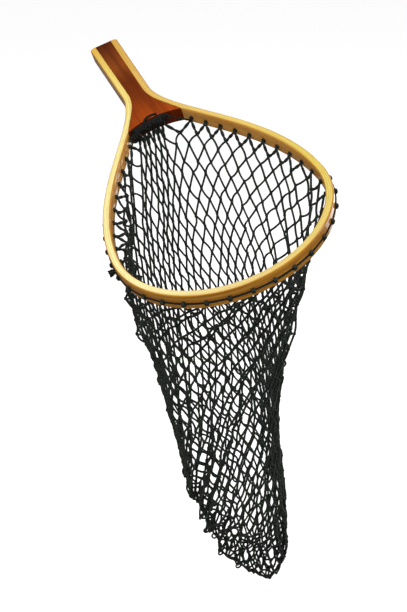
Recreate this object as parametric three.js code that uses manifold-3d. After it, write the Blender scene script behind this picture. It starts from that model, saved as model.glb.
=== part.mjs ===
// Trout landing net: a laminated wooden hoop and handle with a knotted net bag laced to the hoop.
// Millimetres, +Z up. The origin is the middle of the flat butt face, and the handle runs towards -Y.
// The wooden frame is drawn flat (x across, y along the handle, z through its depth) and then tilted
// to the attitude in which it is held, while the bag hangs straight down from it.
import * as THREE from 'three';
import { mergeVertices } from 'three/addons/utils/BufferGeometryUtils.js';
import Module from 'manifold-3d';

const wasm = await Module();
wasm.setup();

// Attitude of the frame, in degrees
const HELD_PITCH = 12;
const HELD_ROLL = 20;

// Outer edge of the frame
const FRAME_LENGTH = 577;
const HOOP_WIDTH = 250;
const HOOP_END_RISE = 120;
const HANDLE_LENGTH = 155;
const BUTT_WIDTH = 40.8;
const NECK_WIDTH = 37.7;
const NECK_PULL = 75;
const SHOULDER_PULL = 134;
const BUTT_CORNER = 6;

// Wood section
const FRAME_DEPTH = 19;
const PLY_THICKNESS = 2.7;
const GLUE_GAP = 0.3;
const EDGE_ROUND = 2.2;
const GLUED_EDGE = 0.2;

// Throat, the hollow end of the handle core that closes the hoop
const THROAT_FROM_BUTT = 227;
const THROAT_SAG = 9;

// Lacing holes and the groove that joins them on the outside
const HOLE_COUNT = 36;
const HOLE_FROM_THROAT = 14;
const GROOVE_BELOW_TOP = 11.3;
const GROOVE_DEPTH = 1.3;

// Cords
const CLEARANCE = 0.3;
const LACING_DIAMETER = 2.2;
const TWINE_DIAMETER = 1.6;
const LACING_BEND = 2.4;
const LACING_LEAD = 4;
const BIGHT_GAP = 0.5;
const BIGHT_CLEARANCE = 0.45;
const TROUGH_REACH = 10;
const TROUGH_DROP = 14;
const TROUGH_HALF_WIDTH = 2;

// Lashing across the throat
const LASHING_TURNS = 15;
const LASHING_SPAN = 44;
const LASHING_SHIFT = -8;
const LASHING_BELOW_TOP = 4.5;
const LASHING_CORE_SPACING = 2.7;

// Knots
const KNOT_SIZE = 8;
const KNOT_HEIGHT = 4;
const KNOT_FROM_BUTT = 452;

// Net bag
const BAG_DEPTH = 540;
const BAG_WALL = 1.5;
const BAG_TIP_SHIFT_X = 66;
const BAG_TIP_SHIFT_Y = -10;
const BAG_SWAY_POWER = 3;
const BAG_TIP_RADIUS = 9;
const MOUTH_CENTRE_FROM_BUTT = 415;
const RIM_ABOVE_TROUGH = 1;
// Share of the mouth's size that is left at each share of the depth
const BAG_TAPER = [
  [0, 1],
  [0.1, 0.95],
  [0.25, 0.75],
  [0.45, 0.63],
  [0.7, 0.57],
  [0.86, 0.42],
  [0.95, 0.26],
];

// Bands of open netting from the rim down, with the staggered rows of meshes in each, above a plain toe
const NET_BANDS = { net_bag_upper: 3, net_bag_middle: 3, net_bag_lower: 2 };
const TOE_ROWS = 2;
const NET_BAR = 5;
// Share of a row that parts one band from the next
const BAND_GAP = 0.03;
const TROUGHS_PER_MESH = 3;
const THROAT_MESHES = 2;

// Fineness of the faceted shapes
const CORNER_STEPS = 2;
const BUTT_CORNER_STEPS = 5;
const FLARE_STEPS = 7;
const THROAT_STEPS = 10;
const HOLE_SIDES = 6;
const LACING_SIDES = 8;
const TWINE_SIDES = 5;
const LASHING_STEPS = 10;
const KNOT_STEPS = 40;
const MESH_CORNERS = 4;
const BISECTIONS = 50;

// A knot follows a trefoil curve, six units wide, that is left open at its ends by this angle in radians
const TREFOIL_WIDTH = 6;
const KNOT_OPEN = 0.16;

// Sizes that follow from the ones above
const WIDEST_FROM_BUTT = FRAME_LENGTH - HOOP_END_RISE;
const HALF_DEPTH = FRAME_DEPTH / 2;
const PLY_STEP = PLY_THICKNESS + GLUE_GAP;
const INNER_FACE = 3 * PLY_STEP - GLUE_GAP;
const CORE_INSET = INNER_FACE + GLUE_GAP;
const GROOVE_Z = HALF_DEPTH - GROOVE_BELOW_TOP;
const GROOVE_HALF_WIDTH = LACING_DIAMETER / 2 + CLEARANCE;
const LACING_INSET = GROOVE_DEPTH - CLEARANCE - LACING_DIAMETER / 2;
const BIGHT_RADIUS = (LACING_DIAMETER + TWINE_DIAMETER) / 2 + BIGHT_CLEARANCE;
const LEG_OFFSET = (TWINE_DIAMETER + BIGHT_GAP) / 2;
const HOLE_RADIUS = Math.max(LEG_OFFSET + TWINE_DIAMETER / 2, LACING_DIAMETER / 2) + CLEARANCE;
const COUNTERSINK_RADIUS = BIGHT_RADIUS + TWINE_DIAMETER / 2 + CLEARANCE;
const TROUGH_INSET = INNER_FACE + TROUGH_REACH;
const TROUGH_Z = GROOVE_Z - TROUGH_DROP;
const RIM_Z = TROUGH_Z + RIM_ABOVE_TROUGH;
const heldPitch = THREE.MathUtils.degToRad(HELD_PITCH);
const heldRoll = THREE.MathUtils.degToRad(HELD_ROLL);
const heldTurn = new THREE.Euler(heldPitch, -heldRoll, 0);
const WALL_LEAN = Math.tan(Math.max(heldPitch, heldRoll));
const TROUGH_OVERLAP = RIM_ABOVE_TROUGH + TWINE_DIAMETER / 2;
const RIM_INSET = TROUGH_INSET + TWINE_DIAMETER / 2 + CLEARANCE + WALL_LEAN * TROUGH_OVERLAP;
const LASHING_RADIUS = (LASHING_CORE_SPACING + LACING_DIAMETER) / 2 + CLEARANCE + LACING_DIAMETER / 2;
const LASHING_Z = HALF_DEPTH - LASHING_BELOW_TOP;
const LASHING_OUTSIDE = LASHING_RADIUS + LACING_DIAMETER / 2;

const COLOURS = {
  paleWood: { color: 0xe0b45c, roughness: 0.35, metalness: 0 },
  darkWood: { color: 0x6e2d10, roughness: 0.3, metalness: 0 },
  cord: { color: 0x11140f, roughness: 0.8, metalness: 0 },
  netting: { color: 0x161a15, roughness: 0.9, metalness: 0 },
};

// Outer edge from the right of the butt, round the hoop, to the left of the butt
function frameOutline() {
  const half = HOOP_WIDTH / 2;
  const neck = NECK_WIDTH / 2;
  const flareY = -HANDLE_LENGTH - NECK_PULL;
  const shoulderY = SHOULDER_PULL - WIDEST_FROM_BUTT;
  const path = new THREE.Path();
  path.moveTo(BUTT_WIDTH / 2, 0);
  path.lineTo(neck, -HANDLE_LENGTH);
  path.bezierCurveTo(neck, flareY, half, shoulderY, half, -WIDEST_FROM_BUTT);
  path.absellipse(0, -WIDEST_FROM_BUTT, half, HOOP_END_RISE, 0, -Math.PI, true);
  path.bezierCurveTo(-half, shoulderY, -neck, flareY, -neck, -HANDLE_LENGTH);
  path.lineTo(-BUTT_WIDTH / 2, 0);
  return path;
}

const outline = frameOutline();
const outlineLength = outline.getLength();

// A place on the outer edge, with the direction of travel and the outward direction there
function stationAt(distance) {
  const share = distance / outlineLength;
  const point = outline.getPoint(share);
  const tangent = outline.getTangent(share);
  const normal = new THREE.Vector2(-tangent.y, tangent.x);
  return { distance, point, tangent, normal };
}

// A point of the frame at a station: inset from the outer edge, height, and distance along the edge
function framePoint(station, inset, z, along = 0) {
  const flat = station.point.clone();
  flat.addScaledVector(station.normal, -inset).addScaledVector(station.tangent, along);
  return new THREE.Vector3(flat.x, flat.y, z);
}

// Distance along the edge at which the core's side reaches the end of the throat
function findThroat() {
  let near = 0;
  let far = outlineLength / 2;
  for (let step = 0; step < BISECTIONS; step++) {
    const middle = (near + far) / 2;
    const reached = framePoint(stationAt(middle), CORE_INSET, 0).y < -THROAT_FROM_BUTT - THROAT_SAG;
    if (reached) far = middle;
    else near = middle;
  }
  return far;
}

const throatDistance = findThroat();
const firstHole = throatDistance + HOLE_FROM_THROAT;
const holePitch = (outlineLength - 2 * firstHole) / (HOLE_COUNT - 1);
const neckDistance = Math.hypot((NECK_WIDTH - BUTT_WIDTH) / 2, HANDLE_LENGTH);

// Stations up the right side of the handle, round the hoop at each hole and between holes, and back
function frameStations() {
  const side = [0, neckDistance / 2];
  for (let step = 0; step <= FLARE_STEPS; step++) {
    side.push(neckDistance + ((throatDistance - neckDistance) * step) / FLARE_STEPS);
  }
  const hoop = [];
  for (let step = 0; step <= 2 * (HOLE_COUNT - 1); step++) {
    hoop.push(firstHole + (step * holePitch) / 2);
  }
  const back = side.map((distance) => outlineLength - distance).reverse();
  const all = [...side, ...hoop, ...back].map(stationAt);
  return { all, side: side.map(stationAt), hoop: hoop.map(stationAt) };
}

const stations = frameStations();
const holeStations = stations.hoop.filter((_, index) => index % 2 === 0);
const troughStations = stations.hoop.filter((_, index) => index % 2 === 1);

// Triangles of a flat cap, turning the same way as its outline
function capTriangles(contour) {
  const turn = Math.sign(THREE.ShapeUtils.area(contour));
  return THREE.ShapeUtils.triangulateShape(contour, []).map(([a, b, c]) => {
    const agrees = Math.sign(THREE.ShapeUtils.area([contour[a], contour[b], contour[c]])) === turn;
    return agrees ? [a, b, c] : [a, c, b];
  });
}

// Triangles between one ring of points and the next, counted from the first point of each ring
function wallTriangles(count, ringStart, nextStart) {
  const faces = [];
  for (let k = 0; k < count; k++) {
    const next = (k + 1) % count;
    faces.push([ringStart + k, ringStart + next, nextStart + next]);
    faces.push([ringStart + k, nextStart + next, nextStart + k]);
  }
  return faces;
}

// Closed body from points and triangles, with its faces turned to point out
function closedBody(points, faces) {
  const signedVolume = ([a, b, c]) => points[a].dot(points[b].clone().cross(points[c]));
  const volume = faces.reduce((sum, face) => sum + signedVolume(face), 0);
  const outward = volume > 0 ? faces : faces.map(([a, b, c]) => [a, c, b]);
  const geometry = new THREE.BufferGeometry().setFromPoints(points);
  geometry.setIndex(outward.flat());
  return geometry;
}

// Closed solid through rings of equal count, with a flat cap on the first and the last ring
function loft(rings, firstContour, lastContour) {
  const count = rings[0].length;
  const points = rings.flat();
  const faces = [];
  for (let ring = 0; ring + 1 < rings.length; ring++) {
    faces.push(...wallTriangles(count, ring * count, (ring + 1) * count));
  }
  const last = points.length - count;
  for (const [a, b, c] of capTriangles(firstContour)) faces.push([c, b, a]);
  for (const [a, b, c] of capTriangles(lastContour)) faces.push([last + a, last + b, last + c]);
  return closedBody(points, faces);
}

// Strip of constant or changing section swept along stations of the frame
function sweep(along, sectionAt) {
  const sections = along.map(sectionAt);
  const rings = sections.map((section, i) => section.map(([inset, z]) => framePoint(along[i], inset, z)));
  const contour = (section) => section.map(([inset, z]) => new THREE.Vector2(inset, z));
  return loft(rings, contour(sections[0]), contour(sections.at(-1)));
}

// Curve through given points, one step to each, for sweeping a round section
class PointCurve extends THREE.Curve {
  constructor(points) {
    super();
    this.points = points;
  }

  getPointAt(share) {
    return this.points[Math.round(share * (this.points.length - 1))].clone();
  }

  getTangentAt(share) {
    const index = Math.round(share * (this.points.length - 1));
    const before = this.points[Math.max(index - 1, 0)];
    const here = this.points[index];
    const after = this.points[Math.min(index + 1, this.points.length - 1)];
    const arriving = here.clone().sub(before).normalize();
    return arriving.add(after.clone().sub(here).normalize()).normalize();
  }
}

// Round cord through points
function cordThrough(points, diameter, sides) {
  const section = new THREE.Shape();
  const corners = Array.from({ length: sides }, (_, k) => {
    const angle = (2 * Math.PI * k) / sides;
    return new THREE.Vector2(Math.cos(angle), Math.sin(angle)).multiplyScalar(diameter / 2);
  });
  section.setFromPoints(corners);
  const extrudePath = new PointCurve(points);
  return new THREE.ExtrudeGeometry(section, { steps: points.length - 1, extrudePath, bevelEnabled: false });
}

// Least gap of a wound cord to itself, measured between points more than half a turn apart
function leastSelfGap(points, diameter, stepsApart) {
  let least = Infinity;
  for (let i = 0; i < points.length; i++) {
    for (let j = i + stepsApart; j < points.length; j++) {
      least = Math.min(least, points[i].distanceTo(points[j]));
    }
  }
  return least - diameter;
}

function toSolid(geometry) {
  const bare = geometry.clone();
  bare.deleteAttribute('normal');
  bare.deleteAttribute('uv');
  const merged = mergeVertices(bare);
  const vertProperties = new Float32Array(merged.attributes.position.array);
  const triVerts = new Uint32Array(merged.index.array);
  return new wasm.Manifold(new wasm.Mesh({ numProp: 3, vertProperties, triVerts }));
}

function toGeometry(solid) {
  const mesh = solid.getMesh();
  const geometry = new THREE.BufferGeometry();
  geometry.setAttribute('position', new THREE.BufferAttribute(mesh.vertProperties, 3));
  geometry.setIndex(new THREE.BufferAttribute(mesh.triVerts, 1));
  return geometry;
}

function cut(geometry, cutters) {
  const start = toSolid(geometry);
  return toGeometry(cutters.reduce((solid, cutter) => solid.subtract(toSolid(cutter)), start));
}

// Points of a quarter-round corner about a centre
function roundCorner(inset, z, radius, startAngle) {
  return Array.from({ length: CORNER_STEPS + 1 }, (_, k) => {
    const angle = startAngle + ((Math.PI / 2) * k) / CORNER_STEPS;
    return [inset + radius * Math.cos(angle), z + radius * Math.sin(angle)];
  });
}

// Round holes through the plies, one at each lacing station
function holeCutters(radius) {
  const corner = radius / Math.cos(Math.PI / HOLE_SIDES);
  const length = INNER_FACE + 2 * LACING_LEAD;
  return holeStations.map((station) => {
    const cutter = new THREE.CylinderGeometry(corner, corner, length, HOLE_SIDES);
    const direction = new THREE.Vector3(station.normal.x, station.normal.y, 0);
    cutter.applyQuaternion(new THREE.Quaternion().setFromUnitVectors(THREE.Object3D.DEFAULT_UP, direction));
    const middle = framePoint(station, INNER_FACE / 2, GROOVE_Z);
    return cutter.translate(middle.x, middle.y, middle.z);
  });
}

// Groove for the lacing, from the first hole to the last
function grooveCutter() {
  const top = GROOVE_Z + GROOVE_HALF_WIDTH;
  const bottom = GROOVE_Z - GROOVE_HALF_WIDTH;
  const outside = -GROOVE_DEPTH;
  const section = [[GROOVE_DEPTH, bottom], [GROOVE_DEPTH, top], [outside, top], [outside, bottom]];
  return sweep(stations.hoop, () => section);
}

// What rounds the two corners of the butt, seen from above
function buttCornerCutters() {
  return [1, -1].map((side) => {
    const edge = (side * BUTT_WIDTH) / 2;
    const inner = edge - side * BUTT_CORNER;
    const beyond = edge + side * BUTT_CORNER;
    const shape = new THREE.Shape();
    shape.moveTo(inner, 0);
    shape.lineTo(inner, BUTT_CORNER);
    shape.lineTo(beyond, BUTT_CORNER);
    shape.lineTo(beyond, -BUTT_CORNER);
    shape.lineTo(edge, -BUTT_CORNER);
    shape.absarc(inner, -BUTT_CORNER, BUTT_CORNER, side > 0 ? 0 : Math.PI, Math.PI / 2, side < 0);
    const options = { depth: 2 * FRAME_DEPTH, bevelEnabled: false, curveSegments: BUTT_CORNER_STEPS };
    return new THREE.ExtrudeGeometry(shape, options).translate(0, 0, -FRAME_DEPTH);
  });
}

function outerPly() {
  const round = EDGE_ROUND;
  const section = [
    [PLY_THICKNESS, -HALF_DEPTH],
    [PLY_THICKNESS, HALF_DEPTH],
    ...roundCorner(round, HALF_DEPTH - round, round, Math.PI / 2),
    ...roundCorner(round, round - HALF_DEPTH, round, Math.PI),
  ];
  const strip = sweep(stations.all, () => section);
  return cut(strip, [grooveCutter(), ...holeCutters(COUNTERSINK_RADIUS), ...buttCornerCutters()]);
}

function middlePly() {
  const outside = PLY_STEP;
  const inside = PLY_STEP + PLY_THICKNESS;
  const section = [
    [inside, -HALF_DEPTH],
    [inside, HALF_DEPTH],
    [outside, HALF_DEPTH],
    [outside, -HALF_DEPTH],
  ];
  const strip = sweep(stations.all, () => section);
  return cut(strip, [...holeCutters(HOLE_RADIUS), ...buttCornerCutters()]);
}

// The inner ply is square where it is glued to the core and rounded round the hoop
function innerPly() {
  const outside = 2 * PLY_STEP;
  const strip = sweep(stations.all, (station) => {
    const fromButt = Math.min(station.distance, outlineLength - station.distance);
    const round = fromButt < firstHole - HOLE_FROM_THROAT / 2 ? GLUED_EDGE : EDGE_ROUND;
    return [
      [outside, HALF_DEPTH],
      [outside, -HALF_DEPTH],
      ...roundCorner(INNER_FACE - round, round - HALF_DEPTH, round, -Math.PI / 2),
      ...roundCorner(INNER_FACE - round, HALF_DEPTH - round, round, 0),
    ];
  });
  return cut(strip, holeCutters(HOLE_RADIUS));
}

const throatCorner = framePoint(stationAt(throatDistance), CORE_INSET, 0).x;

// Edge of the throat, in front of the core
function throatY(x) {
  return -THROAT_FROM_BUTT - THROAT_SAG * (x / throatCorner) ** 2;
}

function handleCore() {
  const right = stations.side.map((station) => {
    const { x, y } = framePoint(station, CORE_INSET, 0);
    return new THREE.Vector2(x, y);
  });
  const throat = Array.from({ length: THROAT_STEPS - 1 }, (_, k) => {
    const x = throatCorner * (1 - (2 * (k + 1)) / THROAT_STEPS);
    return new THREE.Vector2(x, throatY(x));
  });
  const left = right.map((point) => new THREE.Vector2(-point.x, point.y)).reverse();
  const shape = new THREE.Shape();
  shape.setFromPoints([...right, ...throat, ...left]);
  const block = new THREE.ExtrudeGeometry(shape, { depth: FRAME_DEPTH, bevelEnabled: false });
  return block.translate(0, 0, -HALF_DEPTH);
}

// Point on the axis of the throat lashing
function lashingAxis(x) {
  return new THREE.Vector3(x, throatY(x) - LASHING_OUTSIDE - CLEARANCE, LASHING_Z);
}

// From a little past the middle of the lashing, out of its right end (side 1) or its left end (side -1)
function lashingLead(heightOffset, side) {
  const places = [CLEARANCE, LASHING_SPAN / 4, LASHING_SPAN / 2, LASHING_SPAN / 2 + LACING_DIAMETER];
  return places.map((place) => {
    return lashingAxis(LASHING_SHIFT + side * place).setZ(LASHING_Z + heightOffset);
  });
}

// The lacing leaves the lashing, passes out through the first hole, round in the groove, and back
function lacingCord() {
  const first = holeStations[0];
  const bend = [0, Math.PI / 4, Math.PI / 2].map((angle) => {
    const inset = LACING_INSET + LACING_BEND * (1 - Math.sin(angle));
    return framePoint(first, inset, GROOVE_Z, LACING_BEND * (1 - Math.cos(angle)));
  });
  const lead = [INNER_FACE + LACING_LEAD, INNER_FACE].map((inset) => framePoint(first, inset, GROOVE_Z));
  const half = (side) => [
    ...lashingLead(LASHING_CORE_SPACING / 2, side),
    ...[...lead, ...bend].map((point) => new THREE.Vector3(side * point.x, point.y, point.z)),
  ];
  const round = stations.hoop.slice(1, -1).map((station) => framePoint(station, LACING_INSET, GROOVE_Z));
  return cordThrough([...half(1), ...round, ...half(-1).reverse()], LACING_DIAMETER, LACING_SIDES);
}

// One bight of doubled twine: in through the hole, round the lacing on the outside, and back
function bight(station) {
  const hairpin = [90, 135, 180, 225, 270].map((degrees) => {
    const angle = THREE.MathUtils.degToRad(degrees);
    return [LACING_INSET + BIGHT_RADIUS * Math.cos(angle), BIGHT_RADIUS * Math.sin(angle)];
  });
  const upper = [[INNER_FACE + TWINE_DIAMETER, LEG_OFFSET], [PLY_STEP, LEG_OFFSET]];
  const lower = upper.map(([inset, height]) => [inset, -height]).reverse();
  const route = [...upper, ...hairpin, ...lower];
  return route.map(([inset, height]) => framePoint(station, inset, GROOVE_Z + height));
}

// The selvage runs from trough to trough, with a bight through each hole but the first and last
function selvageCord() {
  const trough = (station) => [-TROUGH_HALF_WIDTH, TROUGH_HALF_WIDTH].map((along) => {
    return framePoint(station, TROUGH_INSET, TROUGH_Z, along);
  });
  const points = [...lashingLead(-LASHING_CORE_SPACING / 2, 1), ...trough(troughStations[0])];
  troughStations.slice(1).forEach((station, index) => {
    points.push(...bight(holeStations[index + 1]), ...trough(station));
  });
  points.push(...lashingLead(-LASHING_CORE_SPACING / 2, -1).reverse());
  return cordThrough(points, TWINE_DIAMETER, TWINE_SIDES);
}

// Cord wound round the ends of the lacing and selvage where they cross the throat
function throatLashing() {
  const total = LASHING_TURNS * LASHING_STEPS;
  const stepLength = LASHING_SPAN / total;
  const winding = Array.from({ length: total + 1 }, (_, step) => {
    const angle = (2 * Math.PI * step) / LASHING_STEPS;
    const x = LASHING_SHIFT + LASHING_SPAN * (0.5 - step / total);
    const ahead = lashingAxis(x - stepLength).sub(lashingAxis(x + stepLength)).normalize();
    const across = new THREE.Vector3(-ahead.y, ahead.x, 0);
    return lashingAxis(x)
      .addScaledVector(across, LASHING_RADIUS * Math.sin(angle))
      .add(new THREE.Vector3(0, 0, LASHING_RADIUS * Math.cos(angle)));
  });
  const tail = (from, before) => from.clone().add(from.clone().sub(before).setLength(LACING_DIAMETER));
  winding.unshift(tail(winding[0], winding[1]));
  winding.push(tail(winding.at(-1), winding.at(-2)));
  const gap = leastSelfGap(winding, LACING_DIAMETER, Math.round(LASHING_STEPS / 2));
  console.log('throat_lashing least self-gap', gap.toFixed(2));
  return cordThrough(winding, LACING_DIAMETER, TWINE_SIDES);
}

// Overhand knot lying flat, with its two ends cut short
function knot(name) {
  const scale = KNOT_SIZE / TREFOIL_WIDTH;
  const sweepAngle = 2 * Math.PI - 2 * KNOT_OPEN;
  const points = Array.from({ length: KNOT_STEPS + 1 }, (_, step) => {
    const angle = KNOT_OPEN + (sweepAngle * step) / KNOT_STEPS;
    const x = scale * (Math.sin(angle) + 2 * Math.sin(2 * angle));
    const y = scale * (Math.cos(angle) - 2 * Math.cos(2 * angle));
    return new THREE.Vector3(x, y, (-KNOT_HEIGHT / 2) * Math.sin(3 * angle));
  });
  const gap = leastSelfGap(points, TWINE_DIAMETER, Math.round(KNOT_STEPS / 8));
  console.log(name, 'least self-gap', gap.toFixed(2));
  return cordThrough(points, TWINE_DIAMETER, TWINE_SIDES);
}

// Places where the bag hangs: on troughs of the selvage, and in front of the throat lashing
function bagRim() {
  const hung = troughStations.filter((_, index) => index % TROUGHS_PER_MESH === 1);
  const sides = hung.map((station) => framePoint(station, RIM_INSET, RIM_Z));
  const throat = Array.from({ length: THROAT_MESHES }, (_, k) => {
    const x = LASHING_SHIFT - LASHING_SPAN * (0.5 - (k + 0.5) / THROAT_MESHES);
    const point = lashingAxis(x);
    return point.setY(point.y - LASHING_OUTSIDE - CLEARANCE).setZ(LASHING_Z - LASHING_OUTSIDE);
  });
  return [...sides, ...throat].map((point) => point.applyEuler(heldTurn));
}

// Middle of the bag at a share of its depth: straight down at first, then aside to the tip
function bagAxis(depth) {
  const sway = depth ** BAG_SWAY_POWER;
  const drop = new THREE.Vector3(BAG_TIP_SHIFT_X * sway, BAG_TIP_SHIFT_Y * sway, -BAG_DEPTH * depth);
  return new THREE.Vector3(0, -MOUTH_CENTRE_FROM_BUTT, RIM_Z).applyEuler(heldTurn).add(drop);
}

const rim = new THREE.CatmullRomCurve3(bagRim(), true);
const columns = rim.points.length;
const taper = new THREE.SplineCurve(BAG_TAPER.map(([depth, share]) => new THREE.Vector2(depth, share)));
const toeRow = Object.values(NET_BANDS).reduce((sum, rows) => sum + rows, 1);
const lastRow = toeRow - 1 + TOE_ROWS;

// From the middle of the mouth to the rim at a column of meshes
function rimArm(column) {
  return rim.getPoint(column / columns).sub(bagAxis(0));
}

// Point of the bag at a column round it and a row down its taper, drawn in from its outside by a wall
function bagPoint(column, row, wall) {
  const { x: depth, y: size } = taper.getPoint(row / lastRow);
  const arm = rimArm(column);
  arm.z *= 1 - depth;
  arm.multiplyScalar(size);
  arm.setLength(arm.length() - wall);
  return bagAxis(depth).add(arm);
}

// Column of a mesh in a row: every other row is half a mesh further round
function columnAt(row, k) {
  return k + (row % 2 ? 0 : 0.5);
}

// Corners of a mesh's opening, clockwise from its top, with half a bar's width left round it
function openingCorners(row, k, wall) {
  const column = columnAt(row, k);
  const around = [[0, -1], [0.5, 0], [0, 1], [-0.5, 0]];
  const corners = around.map(([aside, down]) => bagPoint(column + aside, row + down, wall));
  const height = corners[0].distanceTo(corners[2]);
  const width = corners[1].distanceTo(corners[3]);
  const share = (NET_BAR * Math.hypot(width, height)) / (width * height);
  const centre = new THREE.Vector3();
  corners.forEach((corner) => centre.addScaledVector(corner, 1 / corners.length));
  return corners.map((corner) => corner.lerp(centre, share));
}

// Zigzag edge of the netting above a row of meshes (side -1) or below it (side 1)
function zigzag(row, side, wall, gap) {
  const edge = [];
  for (let k = 0; k < columns; k++) {
    const column = columnAt(row, k);
    edge.push(bagPoint(column, row + side + gap, wall), bagPoint(column + 0.5, row + gap, wall));
  }
  return edge;
}

// One face of a band of netting, outside or inside: its points, and its bars and knots as quads
function netFace(firstRow, rows, wall) {
  const points = [];
  const quads = [];
  const wrap = (k) => (k + columns) % columns;
  const opening = (row, k) => MESH_CORNERS * (row * columns + wrap(k));
  for (let row = 0; row < rows; row++) {
    for (let k = 0; k < columns; k++) points.push(...openingCorners(firstRow + row, k, wall));
  }
  const upper = points.length;
  points.push(...zigzag(firstRow, -1, wall, firstRow > 1 ? BAND_GAP : 0));
  const lower = points.length;
  points.push(...zigzag(firstRow + rows - 1, 1, wall, 0));
  const [top, right, bottom, left] = [0, 1, 2, 3];
  for (let row = 0; row < rows; row++) {
    const toRight = Math.ceil(columnAt(firstRow + row, 0));
    for (let k = 0; k < columns; k++) {
      const here = opening(row, k);
      const beside = opening(row, k + 1);
      const peak = 2 * k;
      const before = 2 * wrap(k - 1) + 1;
      const above = row > 0 ? opening(row - 1, k + toRight) + bottom : upper + peak + 1;
      const below = row + 1 < rows ? opening(row + 1, k + toRight) + top : lower + peak + 1;
      quads.push([above, beside + left, below, here + right]);
      if (row === 0) {
        quads.push([upper + peak, upper + peak + 1, here + right, here + top]);
        quads.push([upper + before, upper + peak, here + top, here + left]);
      }
      if (row + 1 < rows) {
        const after = opening(row + 1, k + toRight);
        const prior = opening(row + 1, k + toRight - 1);
        quads.push([here + right, after + top, after + left, here + bottom]);
        quads.push([here + left, here + bottom, prior + right, prior + top]);
      } else {
        quads.push([here + right, lower + peak + 1, lower + peak, here + bottom]);
        quads.push([lower + before, here + left, here + bottom, lower + peak]);
      }
    }
  }
  return { points, quads, upper, lower };
}

// Band of open netting: an outside and an inside face, joined round each opening and along both edges
function netBand(firstRow, rows) {
  const outside = netFace(firstRow, rows, 0);
  const inside = netFace(firstRow, rows, BAG_WALL);
  const { upper, lower, quads: outer } = outside;
  const depth = outside.points.length;
  const inner = outer.map((quad) => quad.map((index) => index + depth).reverse());
  const join = (from, to) => [from, to, to + depth, from + depth];
  const walls = [];
  for (let start = 0; start < upper; start += MESH_CORNERS) {
    for (let k = 0; k < MESH_CORNERS; k++) {
      walls.push(join(start + k, start + ((k + 1) % MESH_CORNERS)));
    }
  }
  for (let k = 0; k < 2 * columns; k++) {
    const next = (k + 1) % (2 * columns);
    const [outer0, outer1, inner1, inner0] = join(upper + k, upper + next);
    walls.push(join(lower + k, lower + next), [outer0, inner0, inner1, outer1]);
  }
  const faces = [...outer, ...inner, ...walls].flatMap(([a, b, c, d]) => [[a, b, c], [a, c, d]]);
  return closedBody([...outside.points, ...inside.points], faces);
}

// Plain toe of the bag, from the netting's last zigzag to the flat tip
function bagToe() {
  const places = Array.from({ length: 2 * columns }, (_, k) => columnAt(toeRow, 0) + k / 2);
  const tip = (height) => places.map((column) => {
    return bagAxis(1).add(rimArm(column).setZ(0).setLength(BAG_TIP_RADIUS).setZ(height));
  });
  const side = (wall) => [
    zigzag(toeRow, -1, wall, BAND_GAP),
    ...[(toeRow + lastRow) / 2, lastRow].map((row) => places.map((column) => bagPoint(column, row, wall))),
  ];
  const rings = [tip(BAG_WALL), ...side(BAG_WALL).reverse(), ...side(0), tip(0)];
  const contour = (ring) => ring.map((point) => new THREE.Vector2(point.x, point.y));
  return loft(rings, contour(rings[0]), contour(rings.at(-1)));
}

function piece(name, geometry, look) {
  const mesh = new THREE.Mesh(geometry, new THREE.MeshStandardMaterial(look));
  mesh.name = name;
  return mesh;
}

const frame = new THREE.Group();
frame.rotation.copy(heldTurn);
frame.add(piece('handle_core', handleCore(), COLOURS.darkWood));
frame.add(piece('inner_ply', innerPly(), COLOURS.paleWood));
frame.add(piece('middle_ply', middlePly(), COLOURS.paleWood));
frame.add(piece('outer_ply', outerPly(), COLOURS.paleWood));
frame.add(piece('lacing_cord', lacingCord(), COLOURS.cord));
frame.add(piece('selvage_cord', selvageCord(), COLOURS.cord));
frame.add(piece('throat_lashing', throatLashing(), COLOURS.cord));

// The lacing's knot lies on the outside of the hoop, between two holes on the left
const lacingKnot = piece('lacing_knot', knot('lacing_knot'), COLOURS.cord);
const knotStation = troughStations
  .filter((station) => station.point.x < 0)
  .reduce((best, station) => {
    const miss = (candidate) => Math.abs(candidate.point.y + KNOT_FROM_BUTT);
    return miss(station) < miss(best) ? station : best;
  });
const knotInset = LACING_INSET - LACING_DIAMETER / 2 - CLEARANCE - (KNOT_HEIGHT + TWINE_DIAMETER) / 2;
lacingKnot.position.copy(framePoint(knotStation, knotInset, GROOVE_Z));
lacingKnot.lookAt(framePoint(knotStation, 2 * knotInset, GROOVE_Z));
frame.add(lacingKnot);

const net = new THREE.Group();
let bandRow = 1;
for (const [name, rows] of Object.entries(NET_BANDS)) {
  net.add(piece(name, netBand(bandRow, rows), COLOURS.netting));
  bandRow += rows;
}
net.add(piece('net_bag_toe', bagToe(), COLOURS.netting));

// The tail's knot closes the bottom of the bag
const tailKnot = piece('tail_knot', knot('tail_knot'), COLOURS.cord);
tailKnot.position.copy(bagAxis(1));
tailKnot.position.z -= CLEARANCE + (KNOT_HEIGHT + TWINE_DIAMETER) / 2;
net.add(tailKnot);

const landingNet = new THREE.Group();
landingNet.add(frame, net);

export default landingNet;
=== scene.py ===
import math

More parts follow.
